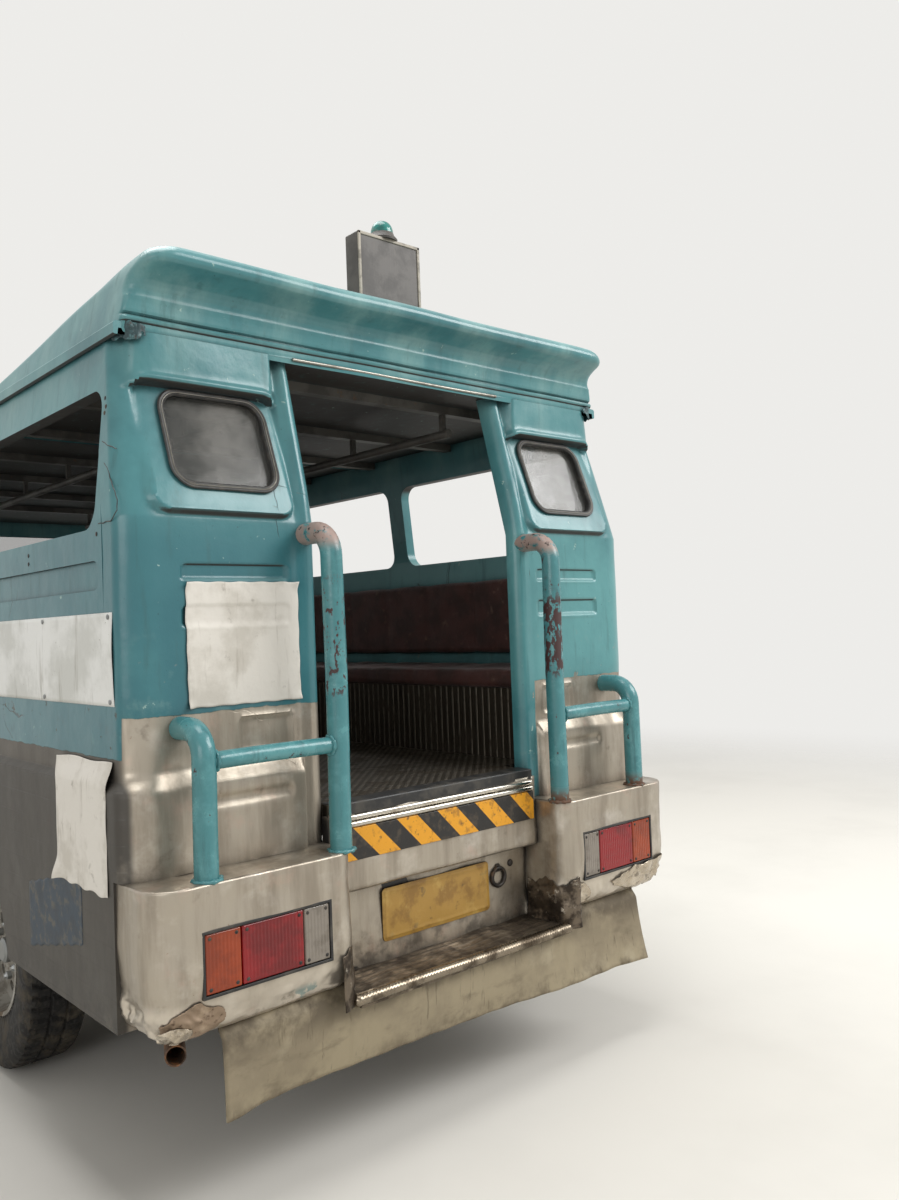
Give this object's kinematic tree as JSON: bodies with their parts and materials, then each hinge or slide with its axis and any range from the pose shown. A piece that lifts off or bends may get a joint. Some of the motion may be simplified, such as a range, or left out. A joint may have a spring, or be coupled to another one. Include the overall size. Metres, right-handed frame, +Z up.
{
  "type": "jeepney",
  "caption": "Short-nosed passenger jeepney with an open rear doorway, a step between bumper boxes, pipe handrails and long side benches.",
  "frame": {"origin": "on the ground under the middle of the vehicle, halfway between the face of the rear bumper boxes and the face of the front bumper", "axes": "+X forward, +Y to the vehicle's left, +Z up"},
  "size_m": [5.4, 2.14, 2.497],
  "materials": {
    "enamel": "turquoise enamel, worn, with scratches and screw dots",
    "bare_sheet": "bare galvanised sheet, dented and dirty",
    "frame_black": "black frame paint under road dirt",
    "engine_grey": "oily cast iron",
    "radiator_black": "black",
    "exhaust_steel": "rusty steel",
    "axle_black": "black, dusty",
    "spring_steel": "dark spring steel",
    "floor_sheet": "worn floor plate",
    "ceiling": "dull grey ceiling frames",
    "pipe_enamel": "turquoise enamel chipped to dark primer",
    "sign_grey": "dark grey-brown, blank",
    "plate_yellow": "worn yellow, blank",
    "sign_white": "off-white, blank",
    "lens": "ribbed lenses in a dark tray",
    "flap": "dirty off-white sheet",
    "upholstery": "dark brown vinyl",
    "glass": "hazy",
    "cab_black": "black",
    "lamp_glass": "clear lens",
    "bumper_steel": "grey steel",
    "mirror_black": "black shell",
    "rim_paint": "silver wheel paint under dust",
    "tyre": "black rubber, dusty"
  },
  "bodies": {
    "body": {"chassis_frame": "frame_black", "power_unit": "engine_grey", "radiator": "radiator_black", "fuel_tank": "frame_black", "exhaust": "exhaust_steel", "front_axle": "axle_black", "rear_axle": "axle_black", "leaf_springs": "spring_steel", "cabin_floor": "floor_sheet", "side_wall_left": "enamel", "side_wall_right": "enamel", "rear_quarter_left": "enamel", "rear_quarter_right": "enamel", "roof": "enamel", "ceiling_bows": "ceiling", "roof_sign": "sign_grey", "rear_bumper_boxes": "bare_sheet", "tail_lamps": "lens", "step_well": "bare_sheet", "mud_flap": "flap", "handrails": "pipe_enamel", "number_plates": "plate_yellow", "side_signs": "sign_white", "bench_cushions": "upholstery", "bench_backs": "upholstery", "cab_bulkhead": "enamel", "cab_seats": "upholstery", "cowl": "enamel", "windscreen_frame": "enamel", "panes": "glass", "door_hinge_pins": "frame_black", "front_wings": "enamel", "headlamps": "lamp_glass", "grille": "enamel", "front_bumper": "bumper_steel", "mirrors": "mirror_black"},
    "knuckle_left": {"knuckle_left": "axle_black"},
    "knuckle_right": {"knuckle_right": "axle_black"},
    "steering_wheel": {"steering_wheel": "cab_black"},
    "bonnet": {"bonnet": "enamel"},
    "door_left": {"door_left": "enamel"},
    "door_right": {"door_right": "enamel"},
    "wheel_rear_left": {"rim_rear_left": "rim_paint", "tyre_rear_left": "tyre"},
    "wheel_rear_right": {"rim_rear_right": "rim_paint", "tyre_rear_right": "tyre"},
    "wheel_front_left": {"rim_front_left": "rim_paint", "tyre_front_left": "tyre"},
    "wheel_front_right": {"rim_front_right": "rim_paint", "tyre_front_right": "tyre"}
  },
  "joints": [
    {"name": "steer_left", "type": "hinge", "parent": "body", "child": "knuckle_left", "pos_m": [1.87, 0.585, 0.345], "axis": [0, 0, 1], "range_deg": [-32, 32]},
    {"name": "steer_right", "type": "hinge", "parent": "body", "child": "knuckle_right", "pos_m": [1.87, -0.585, 0.345], "axis": [0, 0, 1], "range_deg": [-32, 32]},
    {"name": "steering_wheel_turn", "type": "hinge", "parent": "body", "child": "steering_wheel", "pos_m": [1.33, 0.372, 1.29], "axis": [-0.8192, 0, 0.5736], "range_deg": [-490, 490]},
    {"name": "roll_rear_left", "type": "hinge", "parent": "body", "child": "wheel_rear_left", "pos_m": [-1.38, 0.735, 0.345], "axis": [0, 1, 0], "continuous": true},
    {"name": "roll_rear_right", "type": "hinge", "parent": "body", "child": "wheel_rear_right", "pos_m": [-1.38, -0.735, 0.345], "axis": [0, 1, 0], "continuous": true},
    {"name": "roll_front_left", "type": "hinge", "parent": "knuckle_left", "child": "wheel_front_left", "pos_m": [1.87, 0.735, 0.345], "axis": [0, 1, 0], "continuous": true},
    {"name": "roll_front_right", "type": "hinge", "parent": "knuckle_right", "child": "wheel_front_right", "pos_m": [1.87, -0.735, 0.345], "axis": [0, 1, 0], "continuous": true},
    {"name": "bonnet_lift", "type": "hinge", "parent": "body", "child": "bonnet", "pos_m": [1.648, 0, 1.247], "axis": [0, -1, 0], "range_deg": [0, 50]},
    {"name": "door_swing_left", "type": "hinge", "parent": "body", "child": "door_left", "pos_m": [1.4, 0.914, 1.2], "axis": [0, 0, -1], "range_deg": [0, 65]},
    {"name": "door_swing_right", "type": "hinge", "parent": "body", "child": "door_right", "pos_m": [1.4, -0.914, 1.2], "axis": [0, 0, 1], "range_deg": [0, 65]}
  ],
  "couplings": [
    {"joint": "steer_right", "follows": "steer_left", "ratio": 1},
    {"joint": "steering_wheel_turn", "follows": "steer_left", "ratio": 15}
  ]
}
